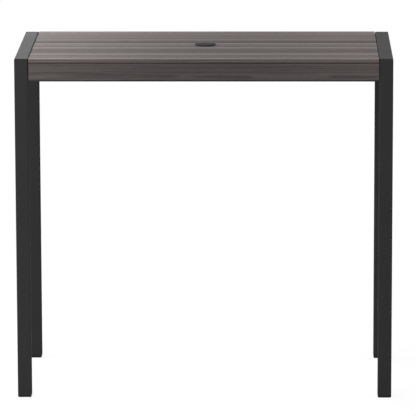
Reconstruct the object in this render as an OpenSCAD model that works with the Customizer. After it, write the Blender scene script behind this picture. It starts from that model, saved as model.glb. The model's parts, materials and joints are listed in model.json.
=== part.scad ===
// Bar-height outdoor table: two mitred square-tube side frames, a slatted top
// on a welded sub-frame, and an umbrella hole with a ring and a lift-out cap.
// Millimetres. +X runs along the table, -Y is the front, +Z is up.
// The origin is on the floor, under the middle of the top.

/* [Overall] */
// Length of the table over both side frames
table_w = 1219; // [900:1:1800]
// Depth of the table, front edge to rear edge
table_d = 610; // [530:1:900]
// Height of the tabletop above the floor
table_h = 1118; // [700:1:1150]

/* [Side frames] */
// Outside width of the square frame tube
tube_w = 44.5; // [42:0.5:60]
// Wall of the frame tube
tube_wall = 1.5; // [1.2:0.1:2.5]
// Outside corner radius of the frame tube
tube_r = 4; // [3.5:0.5:7]
// Radius the mitred corners are dressed to, seen from the side
corner_r = 8; // [5:0.5:16]

/* [Foot caps] */
// Thickness of the cap's sole under the leg
sole_t = 8; // [4:0.5:14]
// Rounding of the sole's lower edges
sole_edge_r = 6; // [1:0.5:8]
// Length of the plug inside the leg
plug_l = 22; // [14:1:40]
// Wall of the hollow plug
plug_wall = 2.5; // [1.5:0.1:4]
// Reach of the plug's fins past its wall
fin_reach = 2.4; // [1.5:0.1:4]
// Thickness of each fin
fin_t = 1.6; // [1:0.1:3]
// Clearance between the fins and the inside of the leg
fin_gap = 0.2; // [0.1:0.05:0.5]

/* [Boards] */
// Thickness of the slats and the aprons
board_t = 12.5; // [11:0.5:16]
// Rounding of the boards' long edges
board_r = 2; // [0.5:0.25:4]
// Gap between one slat and the next
slat_gap = 6; // [2:0.5:12]
// Gap between a board's end and the side frame
end_gap = 1.5; // [0.5:0.25:4]
// Height of the front and rear aprons
apron_h = 58; // [48:1:90]
// Shadow gap between an edge slat and the apron below it
shadow_gap = 3; // [1:0.5:8]

/* [Stretchers] */
// Depth of the stretcher tube, front to back
stretcher_d = 25; // [20:1:27]
// Height of the stretcher tube
stretcher_h = 45; // [30:1:60]
// Wall of the stretcher tube
stretcher_wall = 1.5; // [1.2:0.1:2.5]
// Outside corner radius of the stretcher tube
stretcher_r = 3; // [2.75:0.25:6]

/* [Cross bars] */
// Width of the channel that carries the slats
bar_w = 25; // [24:1:40]
// Height of the channel
bar_h = 20; // [17:1:35]
// Sheet thickness of the channel
bar_t = 2; // [1.5:0.1:3]
// Inside bend radius of pressed sheet
bend_r = 1; // [0.5:0.25:2]

/* [Corner brackets] */
// Sheet thickness of the bracket
bracket_t = 3; // [2:0.1:5]
// Length of the shelf under the stretcher
shelf_l = 60; // [50:1:90]
// Height of the plate welded to the leg
bracket_h = 42; // [25:1:44]
// Width left free on each side of the bracket under the stretcher
bracket_inset = 0.5; // [0:0.25:3]
// Radius of the shelf's free corners
shelf_r = 5; // [1:0.5:9]
// Clearance between the stretcher's end and the bracket
stretcher_gap = 0.5; // [0.2:0.1:2]
// Distance from the leg to the first bracket bolt
bolt_margin = 20; // [14:1:24]
// Distance between the two bolts of a bracket
bolt_pitch = 25; // [16:1:30]

/* [Screws and bolts] */
// Diameter of the board screws
screw_d = 4; // [3:0.1:5]
// Diameter of the board screws' heads
screw_head_d = 8; // [6:0.1:9]
// Height of the board screws' heads
screw_head_h = 2.8; // [1.5:0.1:4]
// Length of a screw inside its board
screw_bite = 8.5; // [5:0.5:9]
// Clearance round a screw, in the metal and in the board
screw_gap = 0.25; // [0.1:0.05:0.5]
// Diameter of the holes a driver reaches the screws through
access_d = 10; // [9.2:0.1:14]
// Diameter of the bolts
bolt_d = 6; // [5:0.1:7]
// Length of the bolts under the head
bolt_l = 16; // [12:1:20]
// Diameter of the bolts' domed heads
bolt_head_d = 11; // [9:0.1:12]
// Height of the bolts' domed heads
bolt_head_h = 3.3; // [2.5:0.1:4]
// Size across flats of the hexagon socket
socket_af = 4; // [3:0.1:5]
// Depth of the hexagon socket
socket_l = 2; // [1:0.1:2.2]
// Outside diameter of the washers
washer_d = 12.5; // [12:0.1:14]
// Thickness of the washers
washer_t = 1.6; // [1:0.1:2.5]
// Clearance round a bolt, in plates, washers and nuts
bolt_gap = 0.15; // [0.1:0.05:0.5]
// Diameter of a rivet nut's flange
nut_flange_d = 13; // [12:0.1:14]
// Thickness of a rivet nut's flange
nut_flange_t = 1; // [0.6:0.1:1.6]
// Diameter of a rivet nut's body
nut_body_d = 9; // [8.5:0.1:10]
// Length of a rivet nut behind the wall's face
nut_l = 14; // [12:0.5:18]
// Diameter of the collar that crimps behind the wall
nut_collar_d = 11.6; // [10.5:0.1:12]
// Length of that collar
nut_collar_l = 3; // [2:0.1:5]
// Clearance between a rivet nut's body and its hole
nut_gap = 0.1; // [0.05:0.05:0.3]

/* [Umbrella hole] */
// Bore of the ring, for the umbrella pole
pole_bore = 50.8; // [40:0.1:60]
// Wall of the sleeve round the pole bore
sleeve_wall = 3.5; // [3:0.1:6]
// Length of the sleeve below the tabletop
sleeve_l = 32; // [26:1:60]
// Reach of the ring's flange past the sleeve
ring_lip = 5.4; // [4:0.1:12]
// Thickness of the flange at its outer edge
ring_edge_t = 3; // [0.8:0.1:4]
// Rise of the dome from the flange's edge to the cap's middle
dome_rise = 2; // [1:0.1:5]
// Width of the step that the cap stands on
step_w = 1.7; // [1:0.1:2.2]
// Depth of the step below the tabletop
step_depth = 8.5; // [6:0.5:12]
// Clearance of the cap, at its side and under its skirt
cap_gap = 0.3; // [0.2:0.05:0.6]
// Wall of the cap's skirt
skirt_wall = 1.8; // [1.2:0.1:3]
// Thickness of the cap's top at its rim
cap_top_t = 1.6; // [1:0.1:2]
// Thickness of the ribs under the cap
cap_rib_t = 1.6; // [1:0.1:3]
// Depth of the ribs under the cap
cap_rib_h = 4; // [2:0.5:6]
// Clearance between the sleeve and the slats cut round it
notch_gap = 1.5; // [1.3:0.1:2.5]
// Thickness of the plate under the slats
plate_t = 3; // [2:0.1:5]
// Length of the plate, front to back
plate_l = 120; // [90:1:200]
// Distance from the sleeve to the middle cross bars
plate_margin = 33.6; // [20:0.1:80]
// Clearance between the sleeve and the plate
plate_gap = 0.5; // [0.2:0.1:1]
// Reach of the snap bead past the sleeve, under the plate
bead_reach = 1.2; // [1.1:0.05:1.25]
// Length of the snap bead
bead_l = 3; // [2:0.1:5]

/* [Hidden] */

$fn = 48;
// Facets of the shallow dome's large circle
dome_fn = 720;
// How far a cut runs past the face that it opens
over = 1;

left = -1;
right = 1;
front = -1;
rear = 1;
ends = [-1, 1];

half_w = table_w / 2;
half_d = table_d / 2;
leg_x = half_w - tube_w / 2;
leg_y = half_d - tube_w / 2;
// The side frames' faces that look at each other
inner_x = half_w - tube_w;

// The plane that the slats lie on
deck_z = table_h - board_t;
slat_count = 14;
slat_w = (table_d - (slat_count - 1) * slat_gap) / slat_count;
slat_pitch = slat_w + slat_gap;
board_l = 2 * (inner_x - end_gap);
apron_z = deck_z - shadow_gap - apron_h / 2;

stretcher_y = half_d - board_t - stretcher_d / 2;
stretcher_z = deck_z - stretcher_h / 2;
stretcher_l = 2 * (inner_x - bracket_t - stretcher_gap);
bar_l = 2 * (stretcher_y - stretcher_d / 2);

pole_r = pole_bore / 2;
sleeve_r = pole_r + sleeve_wall;
flange_r = sleeve_r + ring_lip;
step_r = pole_r + step_w;
dome_top = ring_edge_t + dome_rise;
dome_r = (flange_r * flange_r + dome_rise * dome_rise) / (2 * dome_rise);
cap_r = step_r - cap_gap;
cap_bottom = cap_gap - step_depth;
// Height of the dome over the cap's rim
cap_rim_z = dome_top - dome_r + sqrt(dome_r * dome_r - cap_r * cap_r);
cap_roof_z = cap_rim_z - cap_top_t;
notch_r = sleeve_r + notch_gap;

plate_top = deck_z - bend_r - bar_t;
end_bar_x = inner_x - nut_flange_t - bar_w / 2;
middle_bar_x = sleeve_r + plate_margin + bar_w / 2;
outer_bar_x = (middle_bar_x + end_bar_x) / 2;
bar_x = [-end_bar_x, -outer_bar_x, -middle_bar_x, middle_bar_x, outer_bar_x, end_bar_x];
// Screws through the stretchers stand midway between the cross bars
bay_x = [for (i = [0:4]) (bar_x[i] + bar_x[i + 1]) / 2];

rail_bolt_y = 4 * slat_pitch;
rail_bolt_z = deck_z - (bar_h + bar_t) / 2;
bracket_bolt_x = [inner_x - bolt_margin, inner_x - bolt_margin - bolt_pitch];
shelf_top = deck_z - stretcher_h - nut_flange_t;

screw_r = screw_d / 2;
screw_hole_r = screw_r + screw_gap;
pilot_l = screw_bite + screw_gap;
bolt_hole_r = bolt_d / 2 + bolt_gap;
nut_hole_r = nut_body_d / 2 + nut_gap;

frame_colour = [0.16, 0.16, 0.17];
plastic_colour = [0.10, 0.10, 0.10];
board_colour = [0.44, 0.41, 0.39];
zinc_colour = [0.70, 0.71, 0.73];

// Place of one slat's centre line, counted from the front
function slat_y(n) = (n - (slat_count + 1) / 2) * slat_pitch;

// The two edge slats lie on the stretchers, the others on the cross bars
function on_stretcher(n) = n == 1 || n == slat_count;
function screw_xs(n) = on_stretcher(n) ? bay_x : bar_x;
function screw_y(n) = on_stretcher(n) ? sign(slat_y(n)) * stretcher_y : slat_y(n);
function screw_wall(n) = on_stretcher(n) ? stretcher_wall : bar_t;

// Draws a piece made for the right rear corner in any of the four corners
module at_corner(side, end) {
    mirror([1 - side, 0, 0])
        mirror([0, 1 - end, 0])
            children();
}

// Turns a flat outline drawn in Y and Z into a bar that runs along X
module along_x(length) {
    rotate([90, 0, 90])
        linear_extrude(length, center = true)
            children();
}

// Turns a flat outline drawn in X and Z into a bar that runs along Y
module along_y(length) {
    rotate([90, 0, 0])
        linear_extrude(length, center = true)
            children();
}

module rounded_rect(w, h, r) {
    square([w - 2 * r, h], center = true);
    square([w, h - 2 * r], center = true);
    for (x = ends, y = ends)
        translate([x * (w / 2 - r), y * (h / 2 - r)])
            circle(r);
}

module box_tube(w, h, r, wall) {
    difference() {
        rounded_rect(w, h, r);
        rounded_rect(w - 2 * wall, h - 2 * wall, r - wall);
    }
}

// Rectangle standing on its lower edge, with two rounded corners at the top
module arched_rect(w, h, r) {
    translate([-w / 2, 0])
        square([w, h - r]);
    translate([r - w / 2, 0])
        square([w - 2 * r, h]);
    for (x = ends)
        translate([x * (w / 2 - r), h - r])
            circle(r);
}

// Everything inside a side frame's outer outline, or inside its inner skin
module frame_outline(inset) {
    translate([leg_x, 0, 0])
        along_x(tube_w + 2 * over)
            arched_rect(table_d - 2 * inset, table_h - inset, corner_r - inset);
}

// The leg's side of the 45 degree mitre
module below_mitre() {
    translate([leg_x, 0, 0])
        along_x(tube_w + 2 * over)
            polygon([
                [half_d - tube_w - over, 0],
                [half_d + over, 0],
                [half_d + over, table_h + over],
                [half_d - tube_w - over, table_h - tube_w - over]
            ]);
}

// The rail's side of both mitres
module above_mitres() {
    translate([leg_x, 0, 0])
        along_x(tube_w + 2 * over)
            polygon([
                [half_d + over, table_h + over],
                [half_d - tube_w - over, table_h - tube_w - over],
                [-half_d + tube_w + over, table_h - tube_w - over],
                [-half_d - over, table_h + over]
            ]);
}

module leg_bar(inset, bottom) {
    translate([leg_x, leg_y, bottom])
        linear_extrude(table_h - bottom)
            rounded_rect(tube_w - 2 * inset, tube_w - 2 * inset, tube_r - inset);
}

module rail_bar(inset) {
    translate([leg_x, 0, table_h - tube_w / 2])
        along_y(table_d)
            rounded_rect(tube_w - 2 * inset, tube_w - 2 * inset, tube_r - inset);
}

module leg(side, end) {
    color(frame_colour)
        at_corner(side, end)
            difference() {
                intersection() {
                    leg_bar(0, sole_t);
                    frame_outline(0);
                    below_mitre();
                }
                intersection() {
                    leg_bar(tube_wall, sole_t - over);
                    frame_outline(tube_wall);
                }
            }
}

module top_rail(side) {
    color(frame_colour)
        at_corner(side, rear)
            difference() {
                intersection() {
                    rail_bar(0);
                    frame_outline(0);
                    above_mitres();
                }
                intersection() {
                    rail_bar(tube_wall);
                    frame_outline(tube_wall);
                }
                for (y = ends)
                    translate([inner_x - over, y * rail_bolt_y, rail_bolt_z])
                        rotate([0, 90, 0])
                            cylinder(r = nut_hole_r, h = tube_wall + 2 * over);
            }
}

// Sole with its lower edges rounded, turned over so that the arch points down
module sole_profile() {
    edge_r = min(sole_edge_r, sole_t - fin_t / 2);
    translate([0, sole_t])
        mirror([0, 1])
            arched_rect(tube_w, sole_t, edge_r);
}

module foot(side, end) {
    bore_w = tube_w - 2 * tube_wall;
    bore_r = tube_r - tube_wall;
    fin_w = bore_w - 2 * fin_gap;
    core_w = fin_w - 2 * fin_reach;
    core_r = tube_r - tube_wall;
    fin_step = (plug_l - fin_t) / 3;
    color(plastic_colour)
        translate([side * leg_x, end * leg_y, 0]) {
            intersection() {
                linear_extrude(sole_t)
                    rounded_rect(tube_w, tube_w, tube_r);
                along_x(tube_w)
                    sole_profile();
                along_y(tube_w)
                    sole_profile();
            }
            translate([0, 0, sole_t])
                linear_extrude(plug_l)
                    box_tube(core_w, core_w, core_r + plug_wall, plug_wall);
            for (i = [1:3])
                translate([0, 0, sole_t + i * fin_step])
                    linear_extrude(fin_t)
                        difference() {
                            rounded_rect(fin_w, fin_w, bore_r - fin_gap);
                            square(core_w - 2 * core_r, center = true);
                        }
        }
}

// Bent sheet, seen from the front: a plate up the leg and a shelf towards the middle
module bracket_profile() {
    outer_r = bend_r + bracket_t;
    difference() {
        heel_rect(shelf_l, bracket_h, outer_r);
        translate([-bracket_t, bracket_t])
            heel_rect(shelf_l, bracket_h, bend_r);
    }
}

// Rectangle to the left of the origin, with its lower right corner rounded
module heel_rect(w, h, r) {
    translate([-w, 0])
        square([w - r, h]);
    translate([-w, r])
        square([w, h - r]);
    translate([-r, r])
        circle(r);
}

module bracket(side, end) {
    width = stretcher_d - 2 * bracket_inset;
    color(frame_colour)
        at_corner(side, end)
            difference() {
                intersection() {
                    translate([inner_x, stretcher_y, shelf_top - bracket_t])
                        along_y(width)
                            bracket_profile();
                    translate([inner_x - shelf_l / 2, stretcher_y, shelf_top - bracket_t - over])
                        linear_extrude(bracket_h + 2 * over) {
                            rounded_rect(shelf_l, width, shelf_r);
                            translate([0, -width / 2])
                                square([shelf_l / 2, width]);
                        }
                }
                for (x = bracket_bolt_x)
                    translate([x, stretcher_y, shelf_top - bracket_t - over])
                        cylinder(r = bolt_hole_r, h = bracket_t + 2 * over);
            }
}

module stretcher(end) {
    color(frame_colour)
        difference() {
            translate([0, end * stretcher_y, stretcher_z])
                along_x(stretcher_l)
                    box_tube(stretcher_d, stretcher_h, stretcher_r, stretcher_wall);
            for (x = bay_x) {
                // Slat screw hole in the top wall and driver hole in the bottom wall
                translate([x, end * stretcher_y, deck_z - stretcher_wall - over])
                    cylinder(r = screw_hole_r, h = stretcher_wall + 2 * over);
                translate([x, end * stretcher_y, deck_z - stretcher_h - over])
                    cylinder(d = access_d, h = stretcher_wall + 2 * over);
                // Apron screw hole in the outer wall and driver hole in the inner wall
                translate([x, end * (half_d - board_t + over), stretcher_z])
                    rotate([end * 90, 0, 0])
                        cylinder(r = screw_hole_r, h = stretcher_wall + 2 * over);
                translate([x, end * (bar_l / 2 - over), stretcher_z])
                    rotate([-end * 90, 0, 0])
                        cylinder(d = access_d, h = stretcher_wall + 2 * over);
            }
            for (side = ends, x = bracket_bolt_x)
                translate([side * x, end * stretcher_y, deck_z - stretcher_h - over])
                    cylinder(r = nut_hole_r, h = stretcher_wall + 2 * over);
        }
}

// Channel section, open below, standing on its two flanges
module channel_profile() {
    difference() {
        arched_rect(bar_w, bar_h, bend_r + bar_t);
        translate([0, -over])
            arched_rect(bar_w - 2 * bar_t, bar_h - bar_t + over, bend_r);
    }
}

module cross_bar(n) {
    x = bar_x[n - 1];
    color(frame_colour)
        difference() {
            translate([x, 0, deck_z - bar_h])
                along_y(bar_l)
                    channel_profile();
            for (i = [2:slat_count - 1])
                translate([x, slat_y(i), deck_z - bar_t - over])
                    cylinder(r = screw_hole_r, h = bar_t + 2 * over);
            if (abs(x) == end_bar_x)
                for (y = ends)
                    translate([sign(x) * (end_bar_x + bar_w / 2 - bar_t / 2), y * rail_bolt_y, rail_bolt_z])
                        rotate([0, 90, 0])
                            cylinder(r = bolt_hole_r, h = bar_t + 2 * over, center = true);
        }
}

module umbrella_plate() {
    width = 2 * middle_bar_x - bar_w;
    color(frame_colour)
        translate([0, 0, plate_top - plate_t])
            difference() {
                translate([-width / 2, -plate_l / 2, 0])
                    cube([width, plate_l, plate_t]);
                translate([0, 0, -over])
                    cylinder(r = sleeve_r + plate_gap, h = plate_t + 2 * over);
            }
}

module apron(end) {
    color(board_colour)
        difference() {
            translate([0, end * (half_d - board_t / 2), apron_z])
                along_x(board_l)
                    rounded_rect(board_t, apron_h, board_r);
            for (x = bay_x)
                translate([x, end * (half_d - board_t - over), stretcher_z])
                    rotate([-end * 90, 0, 0])
                        cylinder(r = screw_hole_r, h = pilot_l + over);
        }
}

module slat(n) {
    color(board_colour)
        difference() {
            translate([0, slat_y(n), table_h - board_t / 2])
                along_x(board_l)
                    rounded_rect(slat_w, board_t, board_r);
            translate([0, 0, deck_z - over])
                cylinder(r = notch_r, h = board_t + 2 * over);
            for (x = screw_xs(n))
                translate([x, screw_y(n), deck_z - over])
                    cylinder(r = screw_hole_r, h = pilot_l + over);
        }
}

// Half section under the shallow dome that ring and cap share, from one radius to another
module dome_section(from_r, to_r, bottom) {
    intersection() {
        translate([from_r, bottom])
            square([to_r - from_r, dome_top - bottom + over]);
        translate([0, dome_top - dome_r])
            circle(dome_r, $fn = dome_fn);
    }
}

// Half section of the ring's sleeve, with the bead that snaps under the plate
module sleeve_section() {
    bead_top = plate_top - plate_t - plate_gap - table_h;
    polygon([
        [pole_r, -sleeve_l],
        [sleeve_r, -sleeve_l],
        [sleeve_r, bead_top - bead_l],
        [sleeve_r + bead_reach, bead_top - bead_l / 3],
        [sleeve_r + bead_reach, bead_top],
        [sleeve_r, bead_top],
        [sleeve_r, ring_edge_t],
        [pole_r, ring_edge_t]
    ]);
}

module umbrella_ring() {
    color(plastic_colour)
        translate([0, 0, table_h])
            rotate_extrude()
                difference() {
                    union() {
                        dome_section(pole_r, flange_r, 0);
                        sleeve_section();
                    }
                    translate([0, -step_depth])
                        square([step_r, step_depth + dome_top + over]);
                }
}

module umbrella_cap() {
    skirt_r = cap_r - skirt_wall;
    color(plastic_colour)
        translate([0, 0, table_h]) {
            rotate_extrude()
                difference() {
                    dome_section(0, cap_r, cap_bottom);
                    translate([0, cap_bottom - over])
                        square([skirt_r, cap_roof_z - cap_bottom + over]);
                }
            intersection() {
                translate([0, 0, cap_roof_z - cap_rib_h])
                    cylinder(r = cap_r - skirt_wall / 2, h = cap_rib_h + cap_top_t / 2);
                for (turn = [0, 90])
                    rotate([0, 0, turn])
                        translate([0, 0, cap_roof_z])
                            cube([2 * cap_r, cap_rib_t, 3 * cap_rib_h], center = true);
            }
        }
}

// Pan-head screw that points up, its head's seat at height 0
module screw(wall) {
    point_l = screw_d / 2;
    shank_l = wall + screw_bite - point_l;
    translate([0, 0, -screw_head_h])
        difference() {
            rotate_extrude()
                domed_disc(screw_head_d / 2, screw_head_h);
            for (turn = [0, 90])
                rotate([0, 0, turn])
                    cube([screw_head_d / 2, screw_head_d / 8, screw_head_h], center = true);
        }
    cylinder(r = screw_r, h = shank_l);
    translate([0, 0, shank_l])
        cylinder(r1 = screw_r, r2 = screw_r / 4, h = point_l);
}

// Half section of a head that is domed below: flat on top, an arc underneath
module domed_disc(r, h) {
    sphere_r = (r * r + h * h) / (2 * h);
    intersection() {
        square([r, h]);
        translate([0, sphere_r])
            circle(sphere_r, $fn = 2 * $fn);
    }
}

module slat_screws() {
    color(zinc_colour)
        for (n = [1:slat_count], x = screw_xs(n))
            translate([x, screw_y(n), deck_z - screw_wall(n)])
                screw(screw_wall(n));
}

module apron_screws() {
    color(zinc_colour)
        for (end = ends, x = bay_x)
            translate([x, end * (half_d - board_t - stretcher_wall), stretcher_z])
                rotate([-end * 90, 0, 0])
                    screw(stretcher_wall);
}

// Button-head bolt that points up, its head's seat at height 0
module bolt() {
    translate([0, 0, -bolt_head_h])
        difference() {
            rotate_extrude()
                domed_disc(bolt_head_d / 2, bolt_head_h);
            translate([0, 0, -over])
                cylinder(d = socket_af / cos(30), h = socket_l + over, $fn = 6);
        }
    cylinder(d = bolt_d, h = bolt_l);
}

module washer() {
    translate([0, 0, -washer_t])
        difference() {
            cylinder(d = washer_d, h = washer_t);
            translate([0, 0, -over])
                cylinder(r = bolt_hole_r, h = washer_t + 2 * over);
        }
}

// Rivet nut pressed in from below: the wall's outer face is at height 0
module rivet_nut(wall) {
    difference() {
        union() {
            translate([0, 0, -nut_flange_t])
                cylinder(d = nut_flange_d, h = nut_flange_t);
            cylinder(d = nut_body_d, h = nut_l);
            translate([0, 0, wall])
                cylinder(d = nut_collar_d, h = nut_collar_l);
        }
        translate([0, 0, -nut_flange_t - over])
            cylinder(r = bolt_hole_r, h = nut_flange_t + nut_l + 2 * over);
    }
}

// The eight bracket joints, each with height 0 at the given plane
module at_bracket_bolts(z) {
    for (side = ends, end = ends, x = bracket_bolt_x)
        translate([side * x, end * stretcher_y, z])
            children();
}

// The four joints between end bars and top rails, pointing outwards
module at_rail_bolts(x) {
    for (side = ends, y = ends)
        translate([side * x, y * rail_bolt_y, rail_bolt_z])
            rotate([0, side * 90, 0])
                children();
}

module bracket_bolts() {
    color(zinc_colour)
        at_bracket_bolts(shelf_top - bracket_t - washer_t)
            bolt();
}

module bracket_washers() {
    color(zinc_colour)
        at_bracket_bolts(shelf_top - bracket_t)
            washer();
}

module bracket_nuts() {
    color(zinc_colour)
        at_bracket_bolts(deck_z - stretcher_h)
            rivet_nut(stretcher_wall);
}

module rail_bolts() {
    color(zinc_colour)
        at_rail_bolts(inner_x - nut_flange_t - bar_t - washer_t)
            bolt();
}

module rail_washers() {
    color(zinc_colour)
        at_rail_bolts(inner_x - nut_flange_t - bar_t)
            washer();
}

module rail_nuts() {
    color(zinc_colour)
        at_rail_bolts(inner_x)
            rivet_nut(tube_wall);
}

leg(left, front);  // left_front_leg
leg(left, rear);  // left_rear_leg
leg(right, front);  // right_front_leg
leg(right, rear);  // right_rear_leg
top_rail(left);  // left_top_rail
top_rail(right);  // right_top_rail
foot(left, front);  // left_front_foot
foot(left, rear);  // left_rear_foot
foot(right, front);  // right_front_foot
foot(right, rear);  // right_rear_foot
bracket(left, front);  // left_front_bracket
bracket(left, rear);  // left_rear_bracket
bracket(right, front);  // right_front_bracket
bracket(right, rear);  // right_rear_bracket
stretcher(front);  // front_stretcher
stretcher(rear);  // rear_stretcher
cross_bar(1);  // cross_bar_1
cross_bar(2);  // cross_bar_2
cross_bar(3);  // cross_bar_3
cross_bar(4);  // cross_bar_4
cross_bar(5);  // cross_bar_5
cross_bar(6);  // cross_bar_6
umbrella_plate();
apron(front);  // front_apron
apron(rear);  // rear_apron
slat(1);  // slat_01
slat(2);  // slat_02
slat(3);  // slat_03
slat(4);  // slat_04
slat(5);  // slat_05
slat(6);  // slat_06
slat(7);  // slat_07
slat(8);  // slat_08
slat(9);  // slat_09
slat(10);  // slat_10
slat(11);  // slat_11
slat(12);  // slat_12
slat(13);  // slat_13
slat(14);  // slat_14
umbrella_ring();
umbrella_cap();
slat_screws();
apron_screws();
bracket_bolts();
bracket_washers();
bracket_nuts();
rail_bolts();
rail_washers();
rail_nuts();
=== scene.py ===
# %% [markdown]
# # Dressing a tall outdoor table for a studio picture
#
# The table comes in already built. Every tube, board and screw is a solid at its real size, in
# metres, with +X along the table, -Y at the front, +Z up and the origin on the floor under the
# middle of the top. This notebook gives those solids their finishes, adds the weld beads that the
# real frame has, and sets up the floor, the lights and the camera. Nothing here moves or resizes
# a solid, so all new work is placed by measuring the solids first.

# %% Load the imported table
import json
from math import pi, radians

import bpy
import numpy as np
from mathutils import Euler, Matrix, Vector


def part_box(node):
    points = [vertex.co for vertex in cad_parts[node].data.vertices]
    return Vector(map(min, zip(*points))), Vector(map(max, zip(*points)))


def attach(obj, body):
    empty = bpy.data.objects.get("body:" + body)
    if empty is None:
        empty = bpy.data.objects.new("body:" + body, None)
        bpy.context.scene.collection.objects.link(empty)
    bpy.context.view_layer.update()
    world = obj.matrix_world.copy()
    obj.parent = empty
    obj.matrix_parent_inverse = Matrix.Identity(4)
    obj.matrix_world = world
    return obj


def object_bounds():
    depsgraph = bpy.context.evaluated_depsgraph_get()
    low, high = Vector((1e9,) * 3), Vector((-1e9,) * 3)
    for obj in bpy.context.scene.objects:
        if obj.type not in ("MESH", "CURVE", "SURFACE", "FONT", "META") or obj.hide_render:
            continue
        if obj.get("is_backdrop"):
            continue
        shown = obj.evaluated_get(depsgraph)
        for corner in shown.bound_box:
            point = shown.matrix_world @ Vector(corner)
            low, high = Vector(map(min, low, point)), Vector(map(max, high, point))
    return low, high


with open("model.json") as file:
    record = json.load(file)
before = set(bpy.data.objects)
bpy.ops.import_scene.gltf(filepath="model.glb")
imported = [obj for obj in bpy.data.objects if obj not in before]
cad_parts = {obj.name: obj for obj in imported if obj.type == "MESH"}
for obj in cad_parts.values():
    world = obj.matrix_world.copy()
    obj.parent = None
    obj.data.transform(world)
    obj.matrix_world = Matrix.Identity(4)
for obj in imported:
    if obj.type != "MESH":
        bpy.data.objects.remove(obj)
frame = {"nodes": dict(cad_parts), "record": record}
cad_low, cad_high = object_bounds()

scene = bpy.context.scene
scene.view_settings.view_transform = "Standard"
nodes = frame["nodes"]
print("pieces:", len(nodes), " size in metres:", [round(v, 4) for v in cad_high - cad_low])

# %% [markdown]
# ## Measuring
#
# A finish or a weld that follows a piece has to know where that piece is. The corners of a piece's
# box give all the planes that are needed: the height of the top, the width of the tube, the step
# from one slat to the next. Numbers that are read off the model stay right when the model changes,
# and numbers typed in by hand don't.

# %% Read the main planes off the solids
MM = 0.001

rail_low, rail_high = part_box("right_top_rail")
slat_low, slat_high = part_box("slat_01")
next_low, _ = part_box("slat_02")
apron_low, apron_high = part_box("front_apron")

TOP_Z = rail_high.z
HALF_DEPTH = rail_high.y
TUBE = rail_high.x - rail_low.x
INNER_X = rail_low.x
DECK_Z = slat_low.z
SLAT_PITCH = next_low.y - slat_low.y
SLAT_WIDTH = slat_high.y - slat_low.y
APRON_TOP = apron_high.z
APRON_FOOT = apron_low.z

print(f"top {TOP_Z:.4f}  half depth {HALF_DEPTH:.4f}  tube {TUBE:.4f}  slat step {SLAT_PITCH:.4f}")

# %% [markdown]
# ## The camera
#
# A catalogue picture of furniture is taken from far away with a long lens, so that the legs stay
# nearly parallel and the back edge of the top is only a little shorter than the front edge. The
# height of the camera sets how much of the top shows: here it looks down by eleven degrees. It
# stands a little to the right of the middle and is turned back towards the table, so the left
# rail's run to the back leans more than the right rail's. A trace of roll, 0.15 degrees, brings
# the front and back edges level again after that turn.

# %% Place the camera
CAMERA_PLACE = (0.2331, -12.6343, 3.0234)
CAMERA_TURN = radians(1.022)
CAMERA_TILT = radians(10.98)
CAMERA_ROLL = radians(0.15)
CAMERA_AIM = Euler((pi / 2 - CAMERA_TILT, 0, CAMERA_TURN))
CAMERA_AXES = CAMERA_AIM.to_matrix() @ Matrix.Rotation(-CAMERA_ROLL, 3, "Z")
LENS = 336.14
SENSOR = 36.0
PICTURE = 416


def add_camera():
    """A camera that faces +Y, then turned left, tilted down and rolled by the angles above."""
    data = bpy.data.cameras.new("camera")
    data.lens = LENS
    data.sensor_width = SENSOR
    camera = bpy.data.objects.new("camera", data)
    camera.location = CAMERA_PLACE
    camera.rotation_euler = CAMERA_AXES.to_euler()
    scene.collection.objects.link(camera)
    scene.camera = camera


def picture_point(point):
    """Where a point falls in the picture, in pixels from its upper left corner.

    The columns of CAMERA_AXES point to the camera's right, up from it, and back from what it
    looks at.
    """
    right, up, back = CAMERA_AXES.col
    away = Vector(point) - Vector(CAMERA_PLACE)
    scale = PICTURE * LENS / SENSOR / -away.dot(back)
    across = PICTURE / 2 + scale * away.dot(right)
    down = PICTURE / 2 - scale * away.dot(up)
    return round(across, 1), round(down, 1)


add_camera()
print("the top's front left corner is at", picture_point((cad_low.x, cad_low.y, TOP_Z)))
print("the front right foot's corner is at", picture_point((cad_high.x, cad_low.y, 0)))

# %% [markdown]
# ## Shader maths in Python
#
# A material in Blender is a graph of small nodes. Written out node by node, even a simple mask
# such as `1 - a * b` takes a dozen lines. The class below wraps one output socket, and its
# operators add the Math nodes themselves, so a formula reads like a formula. A `Shop` makes the
# nodes of one material: its `node` method takes the kind of node, its settings and its sockets,
# and the other methods are short forms of it.

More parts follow.
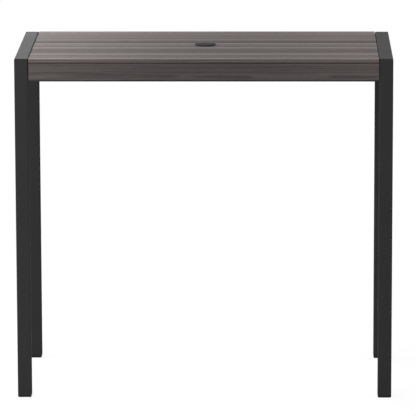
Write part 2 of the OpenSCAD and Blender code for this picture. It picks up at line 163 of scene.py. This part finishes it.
# %% Arithmetic on a socket
class Wire:
    """One output socket. Arithmetic on it adds Math nodes to its shop and gives a new wire."""

    def __init__(self, shop, socket):
        self.shop = shop
        self.socket = socket

    def beside(self, name):
        """Another output of the same node."""
        return Wire(self.shop, self.socket.node.outputs[name])

    def reckon(self, operation, *values):
        """A Math node on the given wires and numbers."""
        return self.shop.node("ShaderNodeMath", {"operation": operation}, dict(enumerate(values)))

    def __add__(self, other):
        return self.reckon("ADD", self, other)

    def __sub__(self, other):
        return self.reckon("SUBTRACT", self, other)

    def __rsub__(self, other):
        return self.reckon("SUBTRACT", other, self)

    def __mul__(self, other):
        return self.reckon("MULTIPLY", self, other)

    def __truediv__(self, other):
        return self.reckon("DIVIDE", self, other)

    def __abs__(self):
        return self.reckon("ABSOLUTE", self)

    __radd__ = __add__
    __rmul__ = __mul__

    def floor(self):
        return self.reckon("FLOOR", self)

    def fraction(self):
        return self.reckon("FRACT", self)

    def larger(self, other):
        return self.reckon("MAXIMUM", self, other)

    def hypotenuse(self, other):
        """The long side of a right-angled triangle whose short sides are the two wires."""
        return self.reckon("SQRT", self * self + other * other)

    def spread(self, first, last):
        """From first to last as the wire goes from 0 to 1."""
        return first + (last - first) * self

    def ramp(self, start, end):
        """A smooth step from 0 at start to 1 at end. Start may be the larger of the two."""
        sockets = {"Value": self, "From Min": start, "From Max": end}
        return self.shop.node("ShaderNodeMapRange", {"interpolation_type": "SMOOTHSTEP"}, sockets)


# %% The shop where a material's nodes are made
# A Mix node has sockets for numbers, for vectors and for colours. These are the colours' places.
MIX_FACTOR, MIX_FIRST, MIX_SECOND, MIX_RESULT = 0, 6, 7, 2


class Shop:
    """Makes the nodes of one material or of the world."""

    def __init__(self, owner):
        owner.use_nodes = True
        self.owner = owner
        self.tree = owner.node_tree
        self.tree.nodes.clear()

    def node(self, kind, settings=None, sockets=None, output=0):
        """Adds a node: first its settings, then the value or the wire of each socket."""
        made = self.tree.nodes.new(kind)
        for name, value in (settings or {}).items():
            setattr(made, name, value)
        for name, value in (sockets or {}).items():
            if isinstance(value, Wire):
                self.tree.links.new(value.socket, made.inputs[name])
            else:
                made.inputs[name].default_value = value
        return Wire(self, made.outputs[output]) if made.outputs else made

    def place(self):
        """The point on the piece in metres, and its three coordinates."""
        point = self.node("ShaderNodeTexCoord", output="Object")
        x = self.node("ShaderNodeSeparateXYZ", None, {0: point})
        return point, x, x.beside("Y"), x.beside("Z")

    def noise(self, point, scale, detail):
        sockets = {"Vector": point, "Scale": scale, "Detail": detail}
        return self.node("ShaderNodeTexNoise", None, sockets)

    def drawn_noise(self, point, along, across, detail):
        """Noise with its own scale along X and across it, which draws it out into streaks."""
        sockets = {0: point, 1: (along, across, across)}
        stretched = self.node("ShaderNodeVectorMath", {"operation": "MULTIPLY"}, sockets)
        return self.noise(stretched, 1.0, detail)

    def chance(self, *numbers):
        """Three numbers from 0 to 1 that depend on the given ones and follow no pattern."""
        seed = self.node("ShaderNodeCombineXYZ", None, dict(enumerate(numbers)))
        colour = self.node("ShaderNodeTexWhiteNoise", None, {"Vector": seed}, "Color")
        first = self.node("ShaderNodeSeparateColor", None, {0: colour})
        return first, first.beside(1), first.beside(2)

    def blend(self, factor, first, second):
        """From the first colour to the second as factor goes from 0 to 1."""
        sockets = {MIX_FACTOR: factor, MIX_FIRST: first, MIX_SECOND: second}
        return self.node("ShaderNodeMix", {"data_type": "RGBA"}, sockets, MIX_RESULT)

    def shade(self, colour, strength):
        """The colour, with all three channels times the same wire."""
        grey = self.node("ShaderNodeCombineColor", None, {0: strength, 1: strength, 2: strength})
        settings = {"data_type": "RGBA", "blend_type": "MULTIPLY"}
        sockets = {MIX_FACTOR: 1.0, MIX_FIRST: colour, MIX_SECOND: grey}
        return self.node("ShaderNodeMix", settings, sockets, MIX_RESULT)

    def relief(self, height, depth):
        """A normal for a surface that stands up by depth, in metres, where height is 1."""
        return self.node("ShaderNodeBump", None, {"Height": height, "Distance": depth})

    def surface(self, sockets):
        """Ends a material with its surface, and gives the material back."""
        made = self.node("ShaderNodeBsdfPrincipled", None, sockets)
        self.node("ShaderNodeOutputMaterial", None, {"Surface": made})
        return self.owner


def rgb(red, green, blue):
    return red, green, blue, 1.0


# %% [markdown]
# ## The room
#
# A catalogue picture shows furniture on pure white. The light that makes the room white would also
# wash out the table, so the two are kept apart with the Light Path node: rays from the camera, and
# mirrored ones, meet a white room of strength 1, and all other rays meet the real floor and a
# dimmer sky that light the table at a plain level. The floor shows a little of its real shading to
# the camera too, so the table still stands in its own soft shadow.

# %% The sky
SKY_LIGHT = 0.51


def shown_rays(shop):
    """1 for rays that see the room as a picture: from the camera, off a gloss, through glass."""
    camera_ray = shop.node("ShaderNodeLightPath", output="Is Camera Ray")
    glossy_ray = camera_ray.beside("Is Glossy Ray")
    return camera_ray.larger(glossy_ray).larger(camera_ray.beside("Is Transmission Ray"))


def add_sky():
    sky = Shop(bpy.data.worlds.new("white studio"))
    strength = shown_rays(sky).spread(SKY_LIGHT, 1)
    light = sky.node("ShaderNodeBackground", None, {"Color": rgb(1, 1, 1), "Strength": strength})
    sky.node("ShaderNodeOutputWorld", None, {"Surface": light})
    scene.world = sky.owner


add_sky()
print("sky light", SKY_LIGHT)

# %% The floor
FLOOR_NEAR = rgb(0.55, 0.55, 0.55)
FLOOR_FAR = rgb(0.85, 0.85, 0.85)
NEAR_RADIUS = 1.5
FAR_RADIUS = 4.5
FLOOR_RADIUS = 60.0
FLOOR_SIDES = 96
FLOOR_DROP = 0.1 * MM
SHADOW_SHARE = 0.25
LIT_FLOOR = 0.38


def floor_finish():
    """Pale paint, mixed with a white glow for the rays that see the room as a picture.

    The paint is lighter away from the table, where the lamps don't reach. The glow makes up for
    what the paint's share lacks, so that the open floor comes to a plain white of 1.
    """
    paint = Shop(bpy.data.materials.new("studio floor"))
    _, x, y, _ = paint.place()
    away = x.hypotenuse(y).ramp(NEAR_RADIUS, FAR_RADIUS)
    colour = paint.blend(away, FLOOR_NEAR, FLOOR_FAR)
    matt = paint.node("ShaderNodeBsdfDiffuse", None, {"Color": colour})
    strength = (1 - SHADOW_SHARE * LIT_FLOOR) / (1 - SHADOW_SHARE)
    glow = paint.node("ShaderNodeEmission", None, {"Color": rgb(1, 1, 1), "Strength": strength})
    share = shown_rays(paint) * (1 - SHADOW_SHARE)
    floor = paint.node("ShaderNodeMixShader", None, {0: share, 1: matt, 2: glow})
    paint.node("ShaderNodeOutputMaterial", None, {"Surface": floor})
    return paint.owner


def add_floor():
    """A flat round floor: points at equal angles on one circle, just under the feet."""
    angles = np.linspace(0, 2 * pi, FLOOR_SIDES, endpoint=False)
    heights = np.full(FLOOR_SIDES, -FLOOR_DROP)
    rim = np.stack([FLOOR_RADIUS * np.cos(angles), FLOOR_RADIUS * np.sin(angles), heights], 1)
    mesh = bpy.data.meshes.new("floor")
    mesh.from_pydata(rim.tolist(), [], [list(range(FLOOR_SIDES))])
    mesh.materials.append(floor_finish())
    floor = bpy.data.objects.new("floor", mesh)
    scene.collection.objects.link(floor)
    floor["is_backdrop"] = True


add_floor()
print("floor radius", FLOOR_RADIUS)

# %% [markdown]
# ## The lamps
#
# The sky alone would light every side alike. A small softbox stands close behind the table's left
# end, low enough for the left rail and the left ends of the slats to mirror it, because a flat
# surface seen at a low angle mirrors what stands behind it. The right rail mirrors the plain room
# and stays darker. One softbox at the left carries that light on over the slats, and two in front,
# of which the right one is weak, light the apron and the legs. Light adds up, so their powers were
# found by rendering each lamp alone and solving for the sum.

# %% Softboxes
LEFT_END = (-0.5, 0, TOP_Z)
MIDDLE = (0, 0, 0.8)


def add_softbox(name, place, target, side, power):
    """A square area lamp at place, turned to target. Side is in metres, power in watts."""
    data = bpy.data.lights.new(name, "AREA")
    data.shape = "SQUARE"
    data.size = side
    data.energy = power
    lamp = bpy.data.objects.new(name, data)
    lamp.location = place
    lamp.rotation_euler = (Vector(target) - Vector(place)).to_track_quat("-Z", "Y").to_euler()
    scene.collection.objects.link(lamp)
    print(f"{name}: {power / (pi * side * side):.2f} W per square metre and steradian")


add_softbox("back left softbox", place=(-0.9, 1.7, 1.85), target=LEFT_END, side=1.0, power=8.5)
add_softbox("left softbox", place=(-2.2, 0.3, 1.9), target=LEFT_END, side=1.2, power=27)
add_softbox("front left softbox", place=(-2.6, -3.4, 1.9), target=MIDDLE, side=1.8, power=60)
add_softbox("front right softbox", place=(2.6, -3.4, 2.2), target=MIDDLE, side=1.8, power=6)

# %% [markdown]
# ## Black powder coat
#
# The frame is steel tube, baked with black powder. Up close a powder coat isn't smooth: it has a
# soft orange peel a few millimetres across and a fine grain on top. From a step away that shows
# only as a dull, broad gloss. The tubes meet in a mitre that is welded, ground flush and coated
# over, so the legs and rails get a faint line along the plane of the mitre, where the coat sinks a
# little, with a smoother ground band on both sides of it. The frames' inner faces point away from
# the spray gun and get a drier, rougher coat. That also keeps them from shining at a low angle.

# %% The coat on the frame
COAT_THIN = rgb(0.0330, 0.0330, 0.0335)
COAT_THICK = rgb(0.0270, 0.0270, 0.0273)
COAT_ROUGHNESS = 0.52
COAT_RELIEF = 0.05 * MM
GROUND_BAND = 5 * MM
GROUND_GLOSS = 0.07
MITRE_LINE = 0.6 * MM
MITRE_SINK = 1.5
DRY_ROUGHNESS = 0.35
DRY_START = 0.9 * MM
DRY_FULL = 0.2 * MM


def powder_coat(name, mitred):
    """Black powder coat, and with mitred also a corner's dressed weld and dry inner faces.

    The mitre is the plane where a point is as far from the table's front or back as it is from
    the top. The dry coat starts on the rounding of a tube's inner edge and is full on the face.
    """
    coat = Shop(bpy.data.materials.new(name))
    point, x, y, z = coat.place()
    cloud = coat.noise(point, scale=6.0, detail=4.0)
    peel = coat.noise(point, scale=320.0, detail=2.0)
    grain = coat.noise(point, scale=1500.0, detail=2.0)
    roughness = COAT_ROUGHNESS + 0.10 * cloud + 0.10 * grain
    height = 0.65 * peel + 0.35 * grain
    if mitred:
        off_mitre = abs(HALF_DEPTH - abs(y) - (TOP_Z - z))
        ground = off_mitre.ramp(GROUND_BAND, 0.5 * GROUND_BAND)
        dry = abs(x).ramp(INNER_X + DRY_START, INNER_X + DRY_FULL)
        roughness = roughness - GROUND_GLOSS * ground + DRY_ROUGHNESS * dry
        height = height - MITRE_SINK * off_mitre.ramp(MITRE_LINE, 0.0)
    return coat.surface({
        "Base Color": coat.blend(cloud, COAT_THIN, COAT_THICK),
        "Roughness": roughness,
        "Specular IOR Level": 0.12,
        "Normal": coat.relief(height, COAT_RELIEF),
    })


FRAME_COAT = powder_coat("black powder coat, mitred", True)
PART_COAT = powder_coat("black powder coat", False)
print("coats:", FRAME_COAT.name, "and", PART_COAT.name)

# %% [markdown]
# ## Grey-brown boards
#
# Grain is what is left of a tree's rings after a saw has gone through them. So the finish is
# worked out the same way: every board gets its own make-believe log, whose axis lies beside the
# board and leans a little, and a point's distance from that axis says which ring it is in. The
# long sides then show drawn-out lines that run out here and there, and the sawn ends show arcs,
# from one formula. Finer noise, drawn out lengthwise, gives fibres and pores, and a chance number
# for each board makes some slats a little lighter than others.

# %% Which board a point is on
APRON_MARGIN = 1 * MM
APRON_ROW = 100


def board_number(y, z):
    """A whole number for each board, and a mask that is 1 on the aprons and 0 on the slats.

    The number is the slat's place in the row, and the aprons have a row of their own.
    """
    apron = z.ramp(DECK_Z - APRON_MARGIN, DECK_Z - 2 * APRON_MARGIN)
    return (y / SLAT_PITCH).floor() + APRON_ROW * apron, apron


def off_middle(y):
    """How far a point is to the rear of its slat's middle line, in metres."""
    return ((y / SLAT_PITCH).fraction() - 0.5) * SLAT_PITCH


print(f"slats {SLAT_WIDTH / MM:.1f} mm wide, gaps {(SLAT_PITCH - SLAT_WIDTH) / MM:.1f} mm")

# %% Rings of a make-believe log
LOG_DRAW = (3.0, 5.0)
SIDE_DRAW = (7.0, 1.0)
RING_DRAW = 4.0
LOG_BESIDE = (25 * MM, 85 * MM)
LOG_BELOW = (15 * MM, 75 * MM)
LOG_LEAN = 6 * MM
SLOW_WANDER = 14 * MM
QUICK_WANDER = 3 * MM
RING_WIDTH = 3.4 * MM
FAINTEST_RING = 0.25


def ring_distance(wood, point, x, y, z, number):
    """Distance from the axis of the board's own log, with a slow wander added.

    The axis runs along X. Chance picks its place from two ranges, LOG_BESIDE to the front or the
    rear of the board's middle line and LOG_BELOW under the top, and a lean of up to LOG_LEAN in a
    metre. LOG_DRAW and SIDE_DRAW keep the board's two draws apart. The wander is slow, so the
    rings run nearly the whole length of a board before they reach its edge.
    """
    beside, below, lean = wood.chance(number, *LOG_DRAW)
    turned, _, _ = wood.chance(number, *SIDE_DRAW)
    side = turned.ramp(0.49, 0.51).spread(-1, 1)
    run = x * lean.spread(-LOG_LEAN, LOG_LEAN)
    across = off_middle(y) - side * beside.spread(*LOG_BESIDE) - run
    down = z - TOP_Z + below.spread(*LOG_BELOW) + run
    slow = wood.drawn_noise(point, along=1.1, across=12.0, detail=3.0) - 0.5
    quick = wood.drawn_noise(point, along=5.0, across=60.0, detail=2.0) - 0.5
    return across.hypotenuse(down) + SLOW_WANDER * slow + QUICK_WANDER * quick


def late_wood(wood, rings, number):
    """The dark part of each ring, from 0 to 1.

    It grows slowly through the ring and stops short at its end, and every ring has a strength of
    its own, from FAINTEST_RING to 1.
    """
    strength, _, _ = wood.chance(rings.floor(), number, RING_DRAW)
    ring = rings.fraction()
    return ring.ramp(0.35, 0.90) * ring.ramp(1.0, 0.93) * strength.spread(FAINTEST_RING, 1)


print(f"rings {RING_WIDTH / MM:.1f} mm wide")

# %% [markdown]
# ## Painted light and shade on the boards
#
# Several factors change a board's brightness here, and only one of them is the board's own: the
# aprons are cut from a slightly darker board. The rest are painted light and shade. The slats'
# long edges in the gaps are painted darker than their faces, as painted shade between the slats,
# and that is what draws the line between two slats when the top is seen at a low angle. Every face
# below the top, upright or facing down, gets painted shade. The boards are painted lighter towards
# both ends than in their middle. The ledge that an apron's top edge makes under the slats lies in
# the shadow gap and is painted lighter, and painted shade along the apron's lower edge leaves a
# dark line there.

# %% Painted light and shade, and the aprons' own tone
# Painted shade in the gaps between the slats: how far it reaches in from a gap, and how dark it
# is.
EDGE_REACH = 2.4 * MM
EDGE_FULL = 0.2 * MM
PAINTED_GAP_SHADE = 0.85
OUTER_EDGE_MARGIN = 5 * MM
# Painted shade on every face below the top, upright or facing down.
UPRIGHT_START = 0.5 * MM
UPRIGHT_FULL = 2 * MM
UPRIGHT_SHADE = 0.58
APRON_TONE = 0.95
# Painted light towards both ends of a board.
END_LIGHT_START = 0.10
END_LIGHT_FULL = 0.60
SLAT_END_LIGHT = 0.24
APRON_END_LIGHT = 0.36
# Painted light on the apron's top edge, in the shadow gap under the slats.
LEDGE_REACH = 0.8 * MM
LEDGE_LIGHT = 1.9
# Painted shade along the apron's lower edge.
LOWER_EDGE_REACH = 6.5 * MM
LOWER_EDGE_SHADE = 0.80


def painted_gap_shade(y, apron):
    """1 on the slats' edges in the gaps, and 0 from EDGE_REACH in from an edge.

    The gaps between the slats get this painted shade. The outer edges of the first and the last
    slat, and the aprons, are left without it.
    """
    edge = abs(off_middle(y)).ramp(SLAT_WIDTH / 2 - EDGE_REACH, SLAT_WIDTH / 2 - EDGE_FULL)
    inner = abs(y).ramp(HALF_DEPTH - OUTER_EDGE_MARGIN, HALF_DEPTH - 2 * OUTER_EDGE_MARGIN)
    return edge * inner * (1 - apron)


def painted_light_and_tone(x, y, z, apron):
    """What a board's brightness is multiplied by: the aprons' own tone, and painted light and
    shade.
    """
    # Painted light: a board is lighter towards both ends than in its middle.
    ends = abs(x).ramp(END_LIGHT_START, END_LIGHT_FULL) * apron.spread(SLAT_END_LIGHT, APRON_END_LIGHT)
    # Painted shade on every face below the top, and the aprons' own darker tone.
    upright = z.ramp(TOP_Z - UPRIGHT_START, TOP_Z - UPRIGHT_FULL)
    light_and_apron_tone = (1 + ends) * upright.spread(1, UPRIGHT_SHADE) * apron.spread(1, APRON_TONE)
    # Painted light on the apron's top edge in the shadow gap.
    ledge = apron * z.ramp(APRON_TOP - LEDGE_REACH, APRON_TOP - 0.25 * LEDGE_REACH)
    # Painted shade along the apron's lower edge.
    lower_edge_shade = apron * z.ramp(APRON_FOOT + LOWER_EDGE_REACH, APRON_FOOT + 0.5 * LOWER_EDGE_REACH)
    # Painted shade in the gaps between the slats and along the aprons' lower edge.
    painted_shade = (1 - PAINTED_GAP_SHADE * painted_gap_shade(y, apron)) * (1 - LOWER_EDGE_SHADE * lower_edge_shade)
    return light_and_apron_tone * painted_shade * (1 + LEDGE_LIGHT * ledge)


# Painted shade reaches in from the gaps and up from the aprons' lower edge.
print(f"dirt reaches {EDGE_REACH / MM:.1f} mm in from a gap, drips {LOWER_EDGE_REACH / MM:.1f} mm up")

# %% The boards' finish
WOOD_LIGHT = rgb(0.170, 0.146, 0.141)
WOOD_DARK = rgb(0.088, 0.074, 0.071)
WOOD_ROUGHNESS = 0.60
WOOD_RELIEF = 0.16 * MM
TONE_DRAW = (13.0, 2.0)
TONES = (0.58, 1.48)
STREAKS = (0.55, 1.45)
FIBRES = (0.80, 1.20)
PORES = (1.0, 0.70)


def board_finish():
    """Grey-brown board. The rings choose between two colours, and the rest sets the brightness.

    TONES, STREAKS, FIBRES and PORES are the factors that each noise gives where it is 0 and 1.
    """
    wood = Shop(bpy.data.materials.new("grey brown board"))
    point, x, y, z = wood.place()
    number, apron = board_number(y, z)
    late = late_wood(wood, ring_distance(wood, point, x, y, z, number) / RING_WIDTH, number)
    tone, _, _ = wood.chance(number, *TONE_DRAW)
    streak = wood.drawn_noise(point, along=1.1, across=70.0, detail=2.0)
    fibre = wood.drawn_noise(point, along=6.0, across=620.0, detail=3.0)
    pore = wood.drawn_noise(point, along=55.0, across=1900.0, detail=1.0).ramp(0.60, 0.72)
    grain = streak.spread(*STREAKS) * fibre.spread(*FIBRES) * pore.spread(*PORES)
    strength = tone.spread(*TONES) * grain * painted_light_and_tone(x, y, z, apron)
    colour = wood.blend(0.90 * late, WOOD_LIGHT, WOOD_DARK)
    height = 0.45 * late + 0.45 * fibre - 0.5 * pore
    return wood.surface({
        "Base Color": wood.shade(colour, strength),
        "Roughness": WOOD_ROUGHNESS + 0.16 * fibre + 0.06 * late,
        "Specular IOR Level": 0.20,
        "Normal": wood.relief(height, WOOD_RELIEF),
    })


BOARD = board_finish()
print("made", BOARD.name)

# %% [markdown]
# ## Moulded plastic and zinc plate
#
# The foot caps, the umbrella ring and its cap are injection moulded. The mould leaves a fine, even
# grain and a satin gloss. The screws, bolts, washers and rivet nuts under the top are zinc plated:
# a bright metal whose gloss is patchy, with a trace of yellow and blue from the passivating bath.

# %% Plastic and zinc
PLASTIC_DARK = rgb(0.0150, 0.0150, 0.0150)
PLASTIC_LIGHT = rgb(0.0190, 0.0190, 0.0190)
PLASTIC_ROUGHNESS = 0.68
ZINC_BLUE = rgb(0.60, 0.61, 0.66)
ZINC_YELLOW = rgb(0.66, 0.64, 0.56)
FINE_RELIEF = 0.03 * MM


def moulded_plastic():
    plastic = Shop(bpy.data.materials.new("black moulded plastic"))
    point = plastic.place()[0]
    flow = plastic.noise(point, scale=24.0, detail=3.0)
    grain = plastic.noise(point, scale=2200.0, detail=1.0)
    return plastic.surface({
        "Base Color": plastic.blend(flow, PLASTIC_DARK, PLASTIC_LIGHT),
        "Roughness": PLASTIC_ROUGHNESS + 0.10 * flow + 0.08 * grain,
        "Specular IOR Level": 0.16,
        "Normal": plastic.relief(grain, FINE_RELIEF),
    })


def zinc_plate():
    zinc = Shop(bpy.data.materials.new("zinc plate"))
    point = zinc.place()[0]
    patch = zinc.noise(point, scale=260.0, detail=4.0)
    tint = zinc.noise(point, scale=90.0, detail=2.0).ramp(0.35, 0.65)
    return zinc.surface({
        "Base Color": zinc.shade(zinc.blend(tint, ZINC_BLUE, ZINC_YELLOW), 0.82 + 0.30 * patch),
        "Metallic": 1.0,
        "Roughness": 0.24 + 0.26 * patch,
        "Normal": zinc.relief(patch, FINE_RELIEF),
    })


PLASTIC = moulded_plastic()
ZINC = zinc_plate()
print("made", PLASTIC.name, "and", ZINC.name)

# %% [markdown]
# ## Which piece gets which finish
#
# The table's record names a kind of finish for every piece, so a look-up gives the material. Only
# the black frame needs one choice more, because its legs and top rails have the dressed mitre and
# its small parts haven't. Each piece has one material slot, and the new material goes into it.

# %% Put each finish on its pieces
FINISHES = {"black_frame": PART_COAT, "board": BOARD, "black_plastic": PLASTIC, "zinc_steel": ZINC}


def finish_of(name, slot):
    """The finish that a piece's slot asks for, or the mitred coat for a leg or a top rail."""
    mitred = name.endswith(("_leg", "_top_rail"))
    return FRAME_COAT if mitred else FINISHES[slot]


for row in frame["record"]["subparts"]:
    piece = nodes[row["node"]]
    piece.material_slots[0].material = finish_of(row["node"], row["material_slot"])

# %% [markdown]
# ## Weld beads
#
# A frame like this is dressed only where hands and eyes go. Inside the mitres and under the top
# the beads stay as the torch left them. A fillet bead fills the corner between two walls. Its
# section lies between a straight chamfer and a quarter round, and along the seam it is a row of
# overlapping crescents, one for each drop of metal that froze. Both are one formula on a grid:
# how far along the seam, and how far round from one wall to the other.

# %% A bead as a surface
BEAD_LEG = 3.0 * MM
BEAD_ROUND = 0.4
RIPPLE_STEP = 1.7 * MM
RIPPLE_DEPTH = 0.13
RIPPLE_POWER = 0.6
CRESCENT = 0.9 * MM
END_REACH = 0.02
RINGS_PER_RIPPLE = 6
SECTION_POINTS = 9


def bead(start, seam, first_wall, second_wall, leg=BEAD_LEG):
    """Points of one fillet bead, as an array of rings by points in a ring by three.

    Start is the seam's first point, seam the vector to its last one, and the walls are unit
    vectors that lead away from the corner along each wall. The reach from the corner at an angle
    is a straight chamfer's, mixed with a quarter circle's. It is scaled by 1 less a share of how
    far the point is from the crest of its ripple, and falls to END_REACH of its size at both
    ends along a rounded outline.
    """
    seam, first_wall, second_wall = (np.array(v, float) for v in (seam, first_wall, second_wall))
    length = np.linalg.norm(seam)
    rings = int(length / RIPPLE_STEP) * RINGS_PER_RIPPLE
    share = np.linspace(0, 1, rings)[:, None]
    angle = np.linspace(0, pi / 2, SECTION_POINTS)[None, :]
    reach = leg * ((1 - BEAD_ROUND) / (np.cos(angle) + np.sin(angle)) + BEAD_ROUND)
    phase = (share * length + CRESCENT * np.sin(2 * angle)) / RIPPLE_STEP
    ripple = 1 - RIPPLE_DEPTH * np.abs(np.sin(pi * phase)) ** RIPPLE_POWER
    ends = np.sqrt(np.clip(1 - np.abs(2 * share - 1) ** (length / leg), END_REACH ** 2, 1))
    reach = (reach * ripple * ends)[:, :, None]
    towards_first = np.cos(angle)[:, :, None] * first_wall
    towards_second = np.sin(angle)[:, :, None] * second_wall
    line = np.array(start, float) + share[:, :, None] * seam
    skin = line + reach * (towards_first + towards_second)
    return np.concatenate([line, skin], axis=1)


print(f"a bead reaches {BEAD_LEG / MM:.1f} mm up a wall, a ripple every {RIPPLE_STEP / MM:.1f} mm")

# %% Faces over a bead's rings
def tube_faces(rings, around, offset):
    """Faces of a closed tube, with offset added to every point's number.

    A belt of four-sided faces joins each ring to the next, and one face closes each end.
    """
    ring = np.arange(rings - 1)[:, None] * around
    following = ring + around
    column = np.arange(around)[None, :]
    after = (column + 1) % around
    sides = np.stack([ring + column, ring + after, following + after, following + column], -1)
    ends = [list(range(around))[::-1], list(range((rings - 1) * around, rings * around))]
    return (sides.reshape(-1, 4) + offset).tolist() + [[i + offset for i in end] for end in ends]


print("two rings of four points make", len(tube_faces(2, 4, 0)), "faces, as on a cube")

# %% Put the beads into the scene
import bmesh


def turn_outwards(mesh):
    """Recalculates the faces' directions, which depend on how the walls of a bead were given."""
    work = bmesh.new()
    work.from_mesh(mesh)
    bmesh.ops.recalc_face_normals(work, faces=work.faces)
    work.to_mesh(mesh)
    work.free()


def add_beads(name, beads):
    """One mesh with all the beads of one kind of joint, its faces turned outwards."""
    points, faces = [], []
    for grid in beads:
        rings, around = grid.shape[:2]
        faces += tube_faces(rings, around, sum(len(p) for p in points))
        points.append(grid.reshape(-1, 3))
    mesh = bpy.data.meshes.new(name)
    mesh.from_pydata(np.concatenate(points).tolist(), [], faces)
    turn_outwards(mesh)
    mesh.shade_smooth()
    mesh.materials.append(PART_COAT)
    piece = bpy.data.objects.new(name, mesh)
    scene.collection.objects.link(piece)
    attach(piece, "table")
    print(f"{name}: {len(beads)} beads, {len(mesh.vertices)} points")


# %% [markdown]
# ## Where the beads go
#
# Each corner of a side frame has a bead inside the mitre, across the flat of the tube. Each cross
# bar has one up each flange where it meets the stretcher. Each corner bracket is welded to its leg
# along its inner edge and its top, and the umbrella plate is held by two short stitches under each
# end. Every seam is the line where two boxes meet, so it is worked out from the pieces' own boxes.

# %% Beads inside the mitres
TUBE_ROUND = 4 * MM
SIDES = (-1, 1)


def mitre_beads():
    """One bead in each side frame's two upper corners, as long as the flat of the tube is wide."""
    inside_y = HALF_DEPTH - TUBE
    inside_z = TOP_Z - TUBE
    width = TUBE - 2 * TUBE_ROUND
    beads = []
    for side in SIDES:
        from_x = side * (INNER_X + TUBE_ROUND)
        for end in SIDES:
            start = (from_x, end * inside_y, inside_z)
            beads.append(bead(start, (side * width, 0, 0), (0, -end, 0), (0, 0, -1)))
    return beads


add_beads("mitre_welds", mitre_beads())

# %% Beads where the cross bars meet the stretchers
BAR_BEND = 3 * MM
BAR_COUNT = 6


def bar_beads():
    """At both ends of each bar, one bead up each flange, as far as the bend at its top."""
    beads = []
    for number in range(1, BAR_COUNT + 1):
        low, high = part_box(f"cross_bar_{number}")
        height = high.z - low.z - BAR_BEND
        for wall_x, outwards in ((low.x, -1), (high.x, 1)):
            for end in SIDES:
                start = (wall_x, end * high.y, low.z)
                beads.append(bead(start, (0, 0, height), (outwards, 0, 0), (0, -end, 0)))
    return beads


add_beads("cross_bar_welds", bar_beads())

# %% Beads on the brackets
BRACKET_SHEET = 3 * MM
BRACKET_LEG = 2.2 * MM


def bracket_beads():
    """On each bracket, one bead up the plate's inner edge and one across its top.

    Both lie on the leg's inner face. The first starts above the bend at the bracket's foot.
    """
    beads = []
    for side, side_name in zip(SIDES, ("left", "right")):
        for end, end_name in zip(SIDES, ("front", "rear")):
            low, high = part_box(f"{side_name}_{end_name}_bracket")
            wall_x = side * INNER_X
            inner_y = end * min(abs(low.y), abs(high.y))
            outer_y = end * max(abs(low.y), abs(high.y))
            from_z = low.z + 2 * BRACKET_SHEET
            inwards = (-side, 0, 0)
            start, seam = (wall_x, inner_y, from_z), (0, 0, high.z - from_z)
            beads.append(bead(start, seam, inwards, (0, -end, 0), BRACKET_LEG))
            start, seam = (wall_x, inner_y, high.z), (0, outer_y - inner_y, 0)
            beads.append(bead(start, seam, inwards, (0, 0, 1), BRACKET_LEG))
    return beads


add_beads("bracket_welds", bracket_beads())

# %% Stitches under the umbrella plate
STITCH_LENGTH = 28 * MM
STITCH_Y = 36 * MM


def plate_beads():
    """Under each end of the plate, one short bead to the front and one to the rear."""
    low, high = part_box("umbrella_plate")
    beads = []
    for wall_x, inwards in ((low.x, 1), (high.x, -1)):
        for end in SIDES:
            start = (wall_x, end * STITCH_Y - STITCH_LENGTH / 2, low.z)
            beads.append(bead(start, (0, STITCH_LENGTH, 0), (inwards, 0, 0), (0, 0, -1)))
    return beads


add_beads("umbrella_plate_welds", plate_beads())

# %% [markdown]
# ## The size, before and after
#
# New work must stay inside the solids' box. Both boxes are measured, and the growth is printed
# so the difference can be read off.

# %% Measure both boxes and finish
seen_low, seen_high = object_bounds()
growth = (seen_high - seen_low) - (cad_high - cad_low)
print("grown by, in mm:", [round(v / MM, 3) for v in growth])
